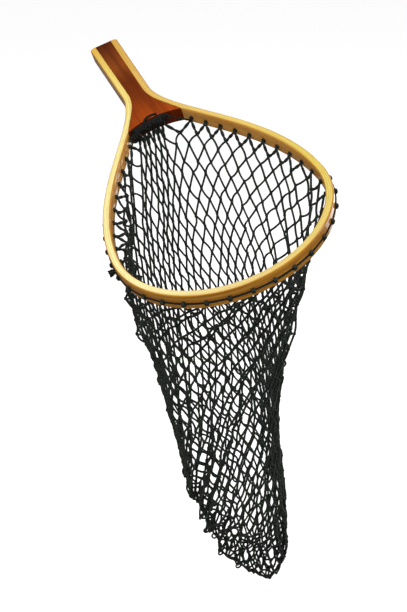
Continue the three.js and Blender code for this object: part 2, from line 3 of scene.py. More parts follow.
import bpy
import numpy as np
from mathutils import Matrix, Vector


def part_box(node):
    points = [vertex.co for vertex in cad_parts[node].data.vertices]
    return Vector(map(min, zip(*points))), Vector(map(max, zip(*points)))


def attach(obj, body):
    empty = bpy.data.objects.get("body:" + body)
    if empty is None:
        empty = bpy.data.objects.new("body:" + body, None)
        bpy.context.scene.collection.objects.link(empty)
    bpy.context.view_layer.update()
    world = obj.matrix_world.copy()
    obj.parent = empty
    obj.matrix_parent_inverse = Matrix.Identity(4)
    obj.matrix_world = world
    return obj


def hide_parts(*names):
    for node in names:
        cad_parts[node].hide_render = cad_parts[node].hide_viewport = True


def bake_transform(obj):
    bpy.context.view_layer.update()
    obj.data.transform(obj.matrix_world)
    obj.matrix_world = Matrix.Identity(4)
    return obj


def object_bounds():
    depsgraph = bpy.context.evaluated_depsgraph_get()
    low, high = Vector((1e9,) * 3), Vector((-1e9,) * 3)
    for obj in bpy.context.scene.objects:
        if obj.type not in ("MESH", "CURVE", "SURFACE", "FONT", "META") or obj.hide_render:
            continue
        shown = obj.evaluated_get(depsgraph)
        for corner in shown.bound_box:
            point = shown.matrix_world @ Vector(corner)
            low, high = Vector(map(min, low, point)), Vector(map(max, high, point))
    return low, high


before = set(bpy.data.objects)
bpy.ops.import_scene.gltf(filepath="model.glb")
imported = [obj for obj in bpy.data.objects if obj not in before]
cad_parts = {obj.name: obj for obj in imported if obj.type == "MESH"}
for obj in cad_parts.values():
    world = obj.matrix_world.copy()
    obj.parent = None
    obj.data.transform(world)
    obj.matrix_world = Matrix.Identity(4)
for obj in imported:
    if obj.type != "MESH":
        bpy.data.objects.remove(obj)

# Trout landing net: varnished laminated hoop and handle, black lacing and a knotted twine bag

cad_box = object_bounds()

MM = 0.001

# Attitude in which the wooden frame is held, over a bag that hangs straight down
HELD_PITCH = math.radians(12)
HELD_ROLL = math.radians(20)

# Outer edge of the wooden frame
FRAME_LENGTH = 577 * MM
HOOP_WIDTH = 250 * MM
HOOP_END_RISE = 120 * MM
HANDLE_LENGTH = 155 * MM
BUTT_WIDTH = 40.8 * MM
NECK_WIDTH = 37.7 * MM
NECK_PULL = 75 * MM
SHOULDER_PULL = 134 * MM
BUTT_CORNER = 6 * MM

# Wood section: three plies round a core, with thin glue lines
HALF_DEPTH = 9.5 * MM
PLY_THICKNESS = 2.94 * MM
GLUE_LINE = 0.03 * MM
PLY_STEP = PLY_THICKNESS + GLUE_LINE
EDGE_ROUND = 2.2 * MM
GLUED_ROUND = 0.08 * MM
CORNER_STEPS = 6
BUTT_ROUND = 1.2 * MM
INNER_FACE = 8.9 * MM
CORE_INSET = INNER_FACE + GLUE_LINE
THROAT_FROM_BUTT = 227 * MM
THROAT_SAG = 9 * MM
THROAT_ROUND = 1.8 * MM
# Lengths along the edge: fine steps to, coarse steps from, and what each change of section takes
FINE_TO = 24 * MM
COARSE_FROM = 26 * MM
CORNER_FADE = 22 * MM
THROAT_FADE = 60 * MM
EDGE_FADE = 8 * MM
GROOVE_FADE = 4 * MM
# Angle in degrees from which an edge of the wood is sharp
SHARP_WOOD = 35

# Lacing holes and groove
HOLE_COUNT = 36
HOLE_FROM_THROAT = 14 * MM
HOLE_RADIUS = 2.7 * MM
PIN_INSET = INNER_FACE + 2.5 * MM
PIN_DROP = 1.5 * MM
THROAT_GAP = 6 * MM
GROOVE_Z = -1.8 * MM
GROOVE_DEPTH = 1.3 * MM
GROOVE_HALF_WIDTH = 1.5 * MM

# Cords
LACING_RADIUS = 1.1 * MM
LACING_INSET = -0.1 * MM
TWINE_RADIUS = 1.32 * MM
SELVAGE_RADIUS = 1.25 * MM
KNOT_SIZE = 1.15 * MM
SELVAGE_SPREAD = 0.9 * MM
BIGHT_RADIUS = 2.2 * MM
LASHING_SPAN = 44 * MM
LASHING_SHIFT = -8 * MM
LASHING_Z = 5 * MM
LASHING_RADIUS = 3.85 * MM
LASHING_TURNS = 19
LASHING_ROUGHNESS = 0.15 * MM
# Loose turns over the lashing: count, middle across, reach to each side, and shift in millimetres
LOOSE_TURNS = [
    (14, LASHING_SHIFT, LASHING_SPAN * 0.5, (0, -1, -0.5)),
    (8, LASHING_SHIFT - LASHING_SPAN * 0.46, 5 * MM, (-2, -3, -5)),
]
# Loose end of the lashing, in millimetres in the flat frame
LASHING_TAIL = [
    (-14, -235.5, 9.6),
    (-12, -231, 11.2),
    (-7, -226, 11.0),
    (0, -224.5, 10.8),
    (6, -226.5, 10.8),
]

# Net bag
BAR = 17.5 * MM
TWINE_LENGTH = BAR * 1.02
SELVAGE_LENGTH = BAR * 1.03
THROAT_COLUMNS = 6
COLUMNS = HOLE_COUNT + THROAT_COLUMNS
ROW_FILL = 0.915
MOUTH_CENTRE = 415 * MM
RIM_Z = -14.8 * MM
BAG_DEPTH = 540 * MM
# Bag's scale against its mouth, and its sideways sway in millimetres, at shares of its depth
BAG_TAPER = [
    (0, 1), (0.1, 0.88), (0.2, 0.90), (0.37, 0.74), (0.5, 0.63), (0.7, 0.58), (0.86, 0.44), (0.95, 0.28),
]
BAG_SWAY = [(0, 0), (0.09, 6), (0.2, -4), (0.4, 11), (0.6, 22), (0.8, 38), (1, 66)]
BAG_TURN = math.radians(25)
# Seam that closes the bag, in millimetres across and up, from its right end past its lowest corner
SEAM_Y = -412
SEAM_LINE = [(104, -590), (97, -626), (77, -641), (44, -614), (11, -578), (-16, -530), (-37, -468)]
SEAM = np.array([(x, SEAM_Y, z) for x, z in SEAM_LINE]) * MM
SEAM_POINTS = 160
SEAM_TWIST = 1.3 * MM
# Places of the seam's loose loops, as shares of its length
SEAM_LOOPS = (0.38, 0.5, 0.58, 0.67, 0.74, 0.83, 0.91)
# Hanging folds: middle column, width in columns, share of the width left, and shares of depth from and to
FOLDS = [
    (36.0, 1.5, 0.35, 0.00, 0.30),
    (32.5, 1.5, 0.40, 0.00, 0.30),
    (7.0, 12.0, 0.45, 0.15, 0.70),
    (19.0, 4.0, 0.30, 0.10, 0.60),
]
# Shares of depth, and columns, over which a fold fades
FOLD_FADE = 0.3
FOLD_EDGE = 2.5
# Shares of depth: columns spread evenly from, lowest shape, start of the bag's turn and what it takes
EVEN_DEPTH = 0.9
LOWEST_SHAPE = 0.9
TURN_FROM = 0.08
TURN_OVER = 0.45
# Shares of the rows: held by the rim down to, drawn to the seam from and over, added towards its left end
RIM_TO = 0.12
SEAM_FROM = 0.72
SEAM_OVER = 0.28
ROWS_ADDED = 0.05
LAST_ROW = 1.02
FRONT_COLUMN = (HOLE_COUNT - 1) / 2
RIGHT_COLUMN = round(FRONT_COLUMN - COLUMNS / 4)
SEED = 7

# Hanging of the net: steps, shares of a fault that each mends, its fall, and the speed that stays
HANG_STEPS = 500
HANG_PASSES = 10
SHAPE_PULL = 0.04
SEAM_PULL = 0.15
END_PULL = 0.4
CLOSING_PULL = 0.3
WIDTH_STIFFNESS = 0.1
SLACK_STIFFNESS = 0.03
FALL = 0.06 * MM
KEPT_SPEED = 0.94
FIRST_JITTER = 1 * MM
WIDTH_UNEVENNESS = 0.2
WIDTH_LIMITS = (0.5, 1.6)
# Rows, with the pinned one, that the hoop may touch
RIM_ROWS = 5

# Turn of the flat frame to its held attitude: a roll about its length, then a pitch
HELD = np.array(Matrix.Rotation(HELD_PITCH, 3, "X")) @ np.array(Matrix.Rotation(-HELD_ROLL, 3, "Y"))


def to_row(points):
    return np.asarray(points) @ HELD.T


def to_frame(points):
    return np.asarray(points) @ HELD


def unit(vectors):
    return vectors / np.maximum(np.linalg.norm(vectors, axis=-1, keepdims=True), 1e-12)


def smooth(value):
    value = np.clip(value, 0, 1)
    return value * value * (3 - 2 * value)


def spline(points, count):
    """A count of points on a smooth curve through given points."""
    points = np.asarray(points, float)
    last = len(points) - 1
    place = np.linspace(0, 1, count) * last
    index = np.clip(place.astype(int), 0, last - 1)
    t = (place - index)[:, None]
    before, here, after, beyond = (points[np.clip(index + k, 0, last)] for k in (-1, 0, 1, 2))
    leave = (after - before) / 2
    arrive = (beyond - here) / 2
    cubic = (2 * here - 2 * after + leave + arrive) * t ** 3
    square = (-3 * here + 3 * after - 2 * leave - arrive) * t ** 2
    return cubic + square + leave * t + here


def interp_rows(places, known, rows):
    """Rows of numbers between known ones."""
    return np.stack([np.interp(places, known, rows[:, k]) for k in range(rows.shape[1])], -1)


def travelled(points):
    """Distance along each polyline at its points."""
    steps = np.linalg.norm(np.diff(points, axis=-2), axis=-1)
    return np.concatenate([np.zeros_like(steps[..., :1]), np.cumsum(steps, axis=-1)], -1)


def along_curve(points, count):
    """Points at even distances along a polyline."""
    distance = travelled(points)
    return interp_rows(np.linspace(0, distance[-1], count), distance, points)


class Outline:
    """Outer edge of the frame, from the right of the butt round the hoop to the left of the butt."""

    def __init__(self):
        half = HOOP_WIDTH / 2
        neck = NECK_WIDTH / 2
        widest = FRAME_LENGTH - HOOP_END_RISE
        handle = np.linspace((BUTT_WIDTH / 2, 0), (neck, -HANDLE_LENGTH), 60)
        t = np.linspace(0, 1, 400)[:, None]
        flare = (
            (1 - t) ** 3 * np.array((neck, -HANDLE_LENGTH))
            + 3 * (1 - t) ** 2 * t * np.array((neck, -HANDLE_LENGTH - NECK_PULL))
            + 3 * (1 - t) * t ** 2 * np.array((half, SHOULDER_PULL - widest))
            + t ** 3 * np.array((half, -widest))
        )
        angle = np.linspace(0, math.pi / 2, 300)
        end = np.stack([half * np.cos(angle), -widest - HOOP_END_RISE * np.sin(angle)], 1)
        right = np.concatenate([handle, flare[1:], end[1:]])
        left = right[::-1][1:] * (-1, 1)
        self.points = np.concatenate([right, left])
        self.distance = travelled(self.points)
        self.length = self.distance[-1]
        self.tangents = unit(np.gradient(self.points, self.distance, axis=0))
        self.normals = np.stack([-self.tangents[:, 1], self.tangents[:, 0]], 1)

    def at(self, distance, values):
        return interp_rows(distance, self.distance, values)

    def place(self, distance, inset, z, along=0.0):
        """Points in the flat frame at distances along the edge, inset from it, at a height."""
        distance, inset, z, along = np.broadcast_arrays(distance, inset, z, along)
        point = self.at(distance, self.points)
        tangent = unit(self.at(distance, self.tangents))
        normal = np.stack([-tangent[..., 1], tangent[..., 0]], -1)
        flat = point - normal * inset[..., None] + tangent * along[..., None]
        return np.concatenate([flat, z[..., None]], -1).astype(float)

    def locate(self, points):
        """Distance along the edge, and inset from it, of points in the flat frame."""
        flat = np.asarray(points)[:, None, :2]
        gap = flat - self.points[None]
        nearest = np.argmin((gap ** 2).sum(-1), axis=1)
        rows = np.arange(len(points))
        inset = -(gap[rows, nearest] * self.normals[nearest]).sum(-1)
        return self.distance[nearest], inset


outline = Outline()
core_side = outline.place(outline.distance, CORE_INSET, 0.0)
# Distance along the edge at which the core's side reaches the end of the throat
throat_start = float(outline.distance[np.argmax(core_side[:, 1] < -THROAT_FROM_BUTT - THROAT_SAG)])
throat_corner = float(outline.place(throat_start, CORE_INSET, 0.0)[0])
first_hole = throat_start + HOLE_FROM_THROAT
holes = np.linspace(first_hole, outline.length - first_hole, HOLE_COUNT)


def throat_y(x):
    return -THROAT_FROM_BUTT - THROAT_SAG * (x / throat_corner) ** 2


# Mesh building


def quads(index):
    """Faces between neighbouring rings of numbered points."""
    here = index[..., :-1, :]
    after = index[..., 1:, :]
    corners = [here, np.roll(here, -1, -1), np.roll(after, -1, -1), after]
    return np.stack(corners, -1).reshape(-1, 4).tolist()


class Soup:
    """Points and faces of cords, with their lay at each point, gathered into one mesh."""

    def __init__(self):
        self.points = []
        self.faces = []
        self.lays = []
        self.count = 0

    def tubes(self, paths, radius, sides=6):
        """Round cords along paths of equal count, closed at both ends."""
        paths = np.asarray(paths, float)
        count, steps = paths.shape[:2]
        tangent = unit(np.gradient(paths, axis=1))
        level = np.abs(tangent[:, 0, 2:]) < 0.8
        normal = unit(np.cross(tangent[:, 0], np.where(level, (0.0, 0.0, 1.0), (1.0, 0.0, 0.0))))
        angle = 2 * math.pi * np.arange(sides) / sides
        rings = np.empty((count, steps, sides, 3))
        for step in range(steps):
            ahead = tangent[:, step]
            normal = unit(normal - ahead * (normal * ahead).sum(-1, keepdims=True))
            across = np.cross(ahead, normal)
            spoke = np.cos(angle)[:, None] * normal[:, None] + np.sin(angle)[:, None] * across[:, None]
            rings[:, step] = paths[:, step, None] + spoke * radius
        lay = np.broadcast_arrays(travelled(paths)[..., None], np.cos(2 * angle), np.sin(2 * angle))
        index = np.arange(count * steps * sides).reshape(count, steps, sides)
        caps = index[:, 0, ::-1].tolist() + index[:, -1].tolist()
        self.faces += [[place + self.count for place in face] for face in quads(index) + caps]
        self.points.append(rings.reshape(-1, 3))
        self.lays.append(np.stack(lay, -1).reshape(-1, 3))
        self.count += index.size

    def tube(self, path, radius, sides=6):
        self.tubes(path[None], radius, sides)

    def piece(self, name, material):
        mesh = new_mesh(name, np.concatenate(self.points), self.faces)
        set_vectors(mesh, "lay", np.concatenate(self.lays))
        return show(name, mesh, material, 180)


def new_mesh(name, points, faces):
    mesh = bpy.data.meshes.new(name)
    mesh.from_pydata(points.tolist(), [], faces)
    mesh.update()
    return mesh


def new_object(name, data):
    item = bpy.data.objects.new(name, data)
    bpy.context.scene.collection.objects.link(item)
    return item


def get_vectors(items, key):
    values = np.empty(len(items) * 3)
    items.foreach_get(key, values)
    return values.reshape(-1, 3)


def set_vectors(mesh, name, values):
    attribute = mesh.attributes.new(name, "FLOAT_VECTOR", "POINT")
    attribute.data.foreach_set("vector", np.asarray(values, np.float32).ravel())


def show(name, mesh, material, sharp):
    """New object from a mesh, shaded smooth up to an angle in degrees."""
    mesh.materials.append(material)
    mesh.shade_smooth()
    mesh.set_sharp_from_angle(angle=math.radians(sharp))
    return new_object(name, mesh)


# Materials

BLACK = (0, 0, 0)
WHITE = (1, 1, 1)


class Nodes:
    """Short way to add and link shader nodes in a material or a world."""

    def __init__(self, owner):
        owner.use_nodes = True
        self.owner = owner
        self.tree = owner.node_tree
        self.shader = self.tree.nodes.get("Principled BSDF")

    def add(self, kind, settings=None, **inputs):
        node = self.tree.nodes.new(kind)
        for key, value in (settings or {}).items():
            setattr(node, key, value)
        for key, value in inputs.items():
            self.feed(node, key.replace("_", " "), value)
        return node

    def feed(self, node, key, value):
        if isinstance(value, bpy.types.NodeSocket):
            self.tree.links.new(value, node.inputs[key])
        else:
            node.inputs[key].default_value = value

    def feed_all(self, node, *values):
        for index, value in enumerate(values):
            self.feed(node, index, value)
        return node.outputs[0]

    def math(self, operation, *values):
        return self.feed_all(self.add("ShaderNodeMath", {"operation": operation}), *values)

    def attribute(self, name):
        return self.add("ShaderNodeAttribute", {"attribute_name": name}).outputs["Vector"]

    def parts(self, vector):
        return self.add("ShaderNodeSeparateXYZ", Vector=vector).outputs

    def noise(self, vector, scale, detail=4.0, rough=0.55, stretch=(1, 1, 1)):
        place = self.add("ShaderNodeMapping", Vector=vector, Scale=stretch).outputs[0]
        node = self.add("ShaderNodeTexNoise", Vector=place, Scale=scale, Detail=detail, Roughness=rough)
        return node.outputs["Fac"]

    def ramp(self, factor, *stops):
        node = self.add("ShaderNodeValToRGB", Fac=factor)
        elements = node.color_ramp.elements
        while len(elements) < len(stops):
            elements.new(0.5)
        for element, (position, colour) in zip(elements, stops):
            element.position = position
            element.color = (*colour, 1)
        return node.outputs["Color"]

    def mix(self, factor, a, b, blend="MIX"):
        node = self.add("ShaderNodeMix", {"data_type": "RGBA", "blend_type": blend})
        for index, value in ((0, factor), (6, a), (7, b)):
            self.feed(node, index, (*value, 1) if isinstance(value, tuple) else value)
        return node.outputs[2]

    def shade(self, colour, share, factor, *stops):
        """Colour multiplied, by a share, with a ramp."""
        return self.mix(share, colour, self.ramp(factor, *stops), "MULTIPLY")

    def bump(self, height, strength, distance):
        node = self.add("ShaderNodeBump", Height=height, Strength=strength, Distance=distance)
        return node.outputs["Normal"]

    def finish(self, **inputs):
        for key, value in inputs.items():
            self.feed(self.shader, key.replace("_", " "), value)
        return self.owner


def material_nodes(name):
    return Nodes(bpy.data.materials.new(name))


def pale_wood():
    """Pale straight-grained wood under gloss varnish, yellow on the ply edges and amber on the faces, with
    painted shade on its rounded edges and corners.
    """
    nodes = material_nodes("pale_wood_varnished")
    grain = nodes.attribute("grain")
    facing = nodes.parts(nodes.attribute("facing"))
    along, inset, _ = nodes.parts(grain)
    fibres = nodes.noise(grain, 1.0, 6.0, 0.6, (14, 900, 900))
    streaks = nodes.noise(grain, 1.0, 3.0, 0.5, (9, 260, 260))
    pores = nodes.noise(grain, 1.0, 2.0, 0.5, (60, 1900, 1900))
    edge = nodes.ramp(
        nodes.math("DIVIDE", along, outline.length),
        (0.0, (0.78, 0.46, 0.09)),
        (0.2, (0.84, 0.60, 0.17)),
        (0.35, (0.80, 0.62, 0.125)),
        (0.5, (0.84, 0.66, 0.25)),
        (0.6, (0.98, 0.87, 0.42)),
        (0.8, (0.98, 0.85, 0.36)),
        (0.93, (0.95, 0.76, 0.20)),
        (1.0, (0.82, 0.50, 0.075)),
    )
    # Painted shade of the rounded edges: the top darkens towards its outer and inner borders
    across = nodes.math("DIVIDE", inset, INNER_FACE)
    painted_border_shade = ((0.0, (0.82, 0.66, 0.42)), (0.25, WHITE), (0.75, WHITE), (1.0, (0.88, 0.75, 0.55)))
    edge = nodes.shade(edge, 1.0, across, *painted_border_shade)
    side = nodes.ramp(
        streaks,
        (0.25, (0.23, 0.085, 0.007)),
        (0.5, (0.36, 0.152, 0.014)),
        (0.75, (0.52, 0.262, 0.037)),
    )
    inside = nodes.ramp(streaks, (0.25, (0.46, 0.20, 0.035)), (0.75, (0.68, 0.34, 0.08)))
    faces = nodes.mix(nodes.math("GREATER_THAN", facing[1], 0.0), inside, side)
    upward = nodes.math("ABSOLUTE", facing[0])
    # Painted shade on the rounded corners: dark amber where the surface slopes between the top and the faces
    painted_corner_shade = nodes.ramp(upward, (0.4, BLACK), (0.7, WHITE))
    colour = nodes.mix(painted_corner_shade, faces, (0.55, 0.25, 0.03))
    flat_tone = nodes.ramp(upward, (0.8, BLACK), (0.97, WHITE))
    colour = nodes.mix(flat_tone, colour, edge)
    colour = nodes.shade(colour, 0.7, fibres, (0.3, (0.72, 0.66, 0.56)), (0.6, WHITE))
    colour = nodes.shade(colour, 0.65, pores, (0.26, (0.5, 0.36, 0.24)), (0.4, WHITE))
    return nodes.finish(
        Base_Color=colour,
        Roughness=0.5,
        Specular_IOR_Level=0.03,
        Normal=nodes.bump(fibres, 0.2, 0.0002),
        Coat_Weight=0.9,
        Coat_IOR=1.25,
        Coat_Roughness=0.06,
    )


def dark_wood():
    """Dark red-brown hardwood, redder and lighter towards the throat, under satin varnish; its end grain is
    darker, and on the throat wall this also stands for painted shade.
    """
    nodes = material_nodes("dark_wood_varnished")
    grain = nodes.attribute("grain")
    fibres = nodes.noise(grain, 1.0, 6.0, 0.6, (16, 700, 700))
    streaks = nodes.noise(grain, 1.0, 4.0, 0.55, (7, 120, 40))
    pores = nodes.noise(grain, 1.0, 2.0, 0.5, (70, 1500, 1500))
    base = nodes.ramp(
        nodes.math("DIVIDE", nodes.parts(grain)[0], THROAT_FROM_BUTT),
        (0.0, (0.095, 0.016, 0.003)),
        (0.35, (0.265, 0.062, 0.008)),
        (0.55, (0.160, 0.027, 0.003)),
        (0.75, (0.190, 0.032, 0.003)),
        (1.0, (0.380, 0.062, 0.005)),
    )
    stripes = ((0.3, (0.5, 0.42, 0.36)), (0.55, WHITE), (0.8, (1.25, 1.18, 1.05)))
    colour = nodes.shade(base, 0.75, streaks, *stripes)
    colour = nodes.shade(colour, 0.5, fibres, (0.3, (0.6, 0.55, 0.5)), (0.62, WHITE))
    colour = nodes.shade(colour, 0.5, pores, (0.25, (0.35, 0.28, 0.25)), (0.36, WHITE))
    # Faces across the grain are darker: end grain at the butt and the throat wall, and on the throat wall
    # painted shade as well
    end_grain_and_shade = nodes.math("ABSOLUTE", nodes.parts(nodes.attribute("facing"))[2])
    colour = nodes.shade(colour, 1.0, end_grain_and_shade, (0.5, WHITE), (0.85, (0.3, 0.24, 0.22)))
    return nodes.finish(
        Base_Color=colour,
        Roughness=0.5,
        Specular_IOR_Level=0.02,
        Normal=nodes.bump(fibres, 0.2, 0.0002),
        Coat_Weight=0.5,
        Coat_IOR=1.2,
        Coat_Roughness=0.08,
    )


def twisted_cord(name, dark, light, pitch):
    """Twisted black cord: its lay shows as a slant of light and dark strands, the light a painted highlight
    on their crests and the dark a painted shade between them.
    """
    nodes = material_nodes(name)
    lay = nodes.parts(nodes.attribute("lay"))
    turn = nodes.math("MULTIPLY", lay[0], 2 * math.pi / pitch)
    first = nodes.math("MULTIPLY", nodes.math("SINE", turn), lay[1])
    second = nodes.math("MULTIPLY", nodes.math("COSINE", turn), lay[2])
    strand = nodes.math("MULTIPLY_ADD", nodes.math("ADD", first, second), 0.5, 0.5)
    place = nodes.add("ShaderNodeTexCoord").outputs["Object"]
    fuzz = nodes.math("MULTIPLY", nodes.noise(place, 900.0, 3.0), 0.4)
    patch = nodes.noise(place, 22.0, 2.0)
    # Painted highlight on the strands' crests and painted shade between them, following the lay
    colour = nodes.ramp(strand, (0.1, dark), (0.9, light))
    colour = nodes.shade(colour, 0.8, patch, (0.35, (0.75, 0.75, 0.75)), (0.7, (1.35, 1.4, 1.25)))
    return nodes.finish(
        Base_Color=colour,
        Roughness=0.75,
        Specular_IOR_Level=0.25,
        Sheen_Weight=0.05,
        Sheen_Roughness=0.4,
        Normal=nodes.bump(nodes.math("ADD", strand, fuzz), 0.6, 0.0004),
    )


pale = pale_wood()
dark = dark_wood()
# Each cord's two colours: painted shade between its strands, then painted highlight on them
cord_black = twisted_cord("black_cord", (0.003, 0.0035, 0.003), (0.012, 0.014, 0.011), 4.4 * MM)
twine_black = twisted_cord("black_twine", (0.0035, 0.005, 0.004), (0.024, 0.032, 0.024), 3.6 * MM)


# Wood


def corner(inset, z, radius, start):
    """Quarter-round corner of a section, as inset and height."""
    angle = math.radians(start) + np.linspace(0, math.pi / 2, CORNER_STEPS + 1)
    return np.stack([inset + radius * np.cos(angle), z + radius * np.sin(angle)], 1)


def ply_section(near, far, near_round, far_round, groove):
    """Section of a ply between two insets, with rounded corners and a groove in its near face."""
    top = HALF_DEPTH
    heights = GROOVE_Z + GROOVE_HALF_WIDTH * np.array((1, 0.75, 0, -0.75, -1))
    wall = np.stack([near + groove * np.array((0, 1, 1, 1, 0)), heights], 1)
    return np.concatenate([
        corner(far - far_round, far_round - top, far_round, -90),
        corner(far - far_round, top - far_round, far_round, 0),
        corner(near + near_round, top - near_round, near_round, 90),
        np.linspace((near, top - near_round), wall[0], 8)[1:-1],
        wall,
        np.linspace(wall[-1], (near, near_round - top), 8)[1:-1],
        corner(near + near_round, near_round - top, near_round, 180),
    ])


def butt_end(inset):
    """How far the rounded corner of the butt cuts back a ply at an inset."""
    reach = np.clip(BUTT_CORNER - inset, 0, BUTT_CORNER)
    return BUTT_CORNER - np.sqrt(BUTT_CORNER ** 2 - reach ** 2)


def ply_mesh(name, near, far, near_round, far_round, grooved):
    """One ply swept round the frame, with its two ends cut and rounded at the butt."""
    side = np.concatenate([np.linspace(0, FINE_TO, 13), np.linspace(COARSE_FROM, throat_start, 60)])
    hoop = np.linspace(throat_start, outline.length - throat_start, 420)[1:-1]
    stations = np.concatenate([side, hoop, outline.length - side[::-1]])
    rings = []
    for station in stations:
        from_butt = min(station, outline.length - station)
        free = smooth((from_butt - throat_start) / EDGE_FADE)
        cut = smooth((from_butt - first_hole + GROOVE_FADE / 2) / GROOVE_FADE) * GROOVE_DEPTH * grooved
        rounding = GLUED_ROUND + (far_round - GLUED_ROUND) * free
        section = ply_section(near, far, near_round, rounding, cut)
        shift = butt_end(section[:, 0]) * smooth(1 - from_butt / CORNER_FADE)
        distance = station + np.where(station < outline.length / 2, shift, -shift)
        rings.append(outline.place(distance, section[:, 0], section[:, 1]))
    rings = np.array(rings)
    for end, inner in ((0, 1), (-1, -2)):
        back = unit(rings[inner] - rings[end]) * BUTT_ROUND
        cap = []
        for degrees, share in ((90, 0.0), (60, 0.5), (30, 0.87), (0, 1.0)):
            limit = HALF_DEPTH - BUTT_ROUND * (1 - math.sin(math.radians(degrees)))
            ring = rings[end].copy()
            ring[:, 2] = np.clip(ring[:, 2], -limit, limit)
            cap.append(ring + back * (1 - share))
        rings = np.concatenate([cap[::-1], rings[1:]] if end == 0 else [rings[:-1], cap])
    index = np.arange(rings.size // 3).reshape(rings.shape[:2])
    caps = [index[0, ::-1].tolist(), index[-1].tolist()]
    return new_mesh(name, rings.reshape(-1, 3), quads(index) + caps)


def hole_cutter():
    """One mesh of all the lacing holes' bores."""
    soup = Soup()
    ends = [outline.place(holes, inset, GROOVE_Z) for inset in (-3 * MM, INNER_FACE + 3 * MM)]
    soup.tubes(np.stack(ends, 1), HOLE_RADIUS, 20)
    return soup.piece("hole_cutter", pale)


def drilled(piece, cutter):
    """Cuts the lacing holes into a ply and applies the cut."""
    modifier = piece.modifiers.new("holes", "BOOLEAN")
    modifier.operation = "DIFFERENCE"
    modifier.object = cutter
    modifier.solver = "EXACT"
    whole = piece.data
    graph = bpy.context.evaluated_depsgraph_get()
    piece.data = bpy.data.meshes.new_from_object(piece.evaluated_get(graph))
    piece.modifiers.clear()
    bpy.data.meshes.remove(whole)


def finish_wood(mesh, points, grain, facing):
    """Adds the grain's coordinates and the way each place faces, then turns the mesh to its attitude."""
    set_vectors(mesh, "grain", np.stack(grain, 1))
    set_vectors(mesh, "facing", np.stack(facing, 1))
    mesh.vertices.foreach_set("co", to_row(points).ravel())
    mesh.update()


def finish_ply(mesh):
    points = get_vectors(mesh.vertices, "co")
    normals = get_vectors(mesh.vertex_normals, "vector")
    distance, inset = outline.locate(points)
    outward = (normals[:, :2] * outline.at(distance, outline.normals)).sum(-1)
    facing = [normals[:, 2], outward, np.zeros_like(outward)]
    finish_wood(mesh, points, [distance, inset, points[:, 2]], facing)


def make_plies():
    cutter = hole_cutter()
    for number, name in enumerate(("outer_ply", "middle_ply", "inner_ply")):
        near = number * PLY_STEP
        near_round = EDGE_ROUND if number == 0 else GLUED_ROUND
        far_round = EDGE_ROUND if number == 2 else GLUED_ROUND
        mesh = ply_mesh(name, near, near + PLY_THICKNESS, near_round, far_round, number == 0)
        piece = show(f"{name}_wood", mesh, pale, SHARP_WOOD)
        drilled(piece, cutter)
        finish_ply(piece.data)
        piece.data.set_sharp_from_angle(angle=math.radians(SHARP_WOOD))
        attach(piece, "frame")
        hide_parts(name)
    bpy.data.objects.remove(cutter)


def make_core():
    """Core of the handle: rows across it from the butt to the hollow throat, with rounded edges."""
    across = np.linspace(-1, 1, 41)
    side = outline.place(np.linspace(0, throat_start, 90), CORE_INSET, 0.0)
    reach = side[-1, 1]
    rows = []
    for x, y, _ in side:
        share = smooth(1 - (y - reach) / THROAT_FADE)
        rows.append(np.stack([across * x, y + (throat_y(across * x) - reach) * share], 1))

    def ring(row, half):
        return np.concatenate([np.insert(row, 2, half, 1), np.insert(row[::-1], 2, -half, 1)])

    def rounded(row, inward, degrees):
        rings = []
        for angle in np.radians(degrees):
            moved = row + (0, inward * (1 - math.sin(angle)))
            rings.append(ring(moved, HALF_DEPTH - abs(inward) * (1 - math.cos(angle))))
        return rings

    rings = rounded(rows[0], -BUTT_ROUND, (90, 60, 30, 0))
    rings += [ring(row, HALF_DEPTH) for row in rows[1:-1]]
    rings += rounded(rows[-1], THROAT_ROUND, (0, 15, 30, 45, 60, 75, 90))
    rings = np.array(rings)
    points = rings.reshape(-1, 3)
    index = np.arange(len(points)).reshape(rings.shape[:2])
    faces = quads(index)
    for k in range(len(across) - 1):
        pair = [k, k + 1, -2 - k, -1 - k]
        faces.append(index[0, pair[::-1]].tolist())
        faces.append(index[-1, pair].tolist())
    mesh = new_mesh("handle_core", points, [face[::-1] for face in faces])
    piece = show("handle_core_wood", mesh, dark, SHARP_WOOD)
    x, y, z = points.T
    across_normal, along_normal, up_normal = get_vectors(mesh.vertex_normals, "vector").T
    finish_wood(mesh, points, [-y, x, z], [up_normal, across_normal, along_normal])
    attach(piece, "frame")
    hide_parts("handle_core")


# Net


def profile(points, depth):
    """Values at depths on a smooth curve through pairs of a depth and a value."""
    curve = spline(points, 400)
    return np.interp(depth, curve[:, 0], curve[:, 1])


def bag_middle(depth):
    """Middle of the bag at shares of its depth."""
    depth = np.asarray(depth, float)
    aside = profile(BAG_SWAY, depth) * MM
    start = to_row((0, -MOUTH_CENTRE, RIM_Z))
    return start + np.stack([aside, np.zeros_like(depth), -BAG_DEPTH * depth], -1)


def depth_at(z):
    return (bag_middle(0.0)[2] - z) / BAG_DEPTH


def turned(arm, angle):
    """Arms turned clockwise, seen from above."""
    x = arm[:, 0] * np.cos(angle) + arm[:, 1] * np.sin(angle)
    y = arm[:, 1] * np.cos(angle) - arm[:, 0] * np.sin(angle)
    return np.stack([x, y, arm[:, 2]], -1)


def seam_at(steps):
    """Points on the seam, in columns from its right end."""
    fine = along_curve(spline(SEAM, 200), 400)
    place = np.asarray(steps) / (COLUMNS / 2) * (len(fine) - 1)
    return interp_rows(place, np.arange(len(fine)), fine)


def net_pins():
    """Where each column of the net is held: at the lacing holes and along the throat lashing."""
    at_holes = outline.place(holes, PIN_INSET, GROOVE_Z - PIN_DROP)
    share = (np.arange(THROAT_COLUMNS) + 1) / (THROAT_COLUMNS + 1)
    x = LASHING_SHIFT + (share - 0.5) * LASHING_SPAN
    at_throat = np.stack([x, throat_y(x) - THROAT_GAP, np.zeros_like(x)], 1)
    return to_row(np.concatenate([at_holes, at_throat]))


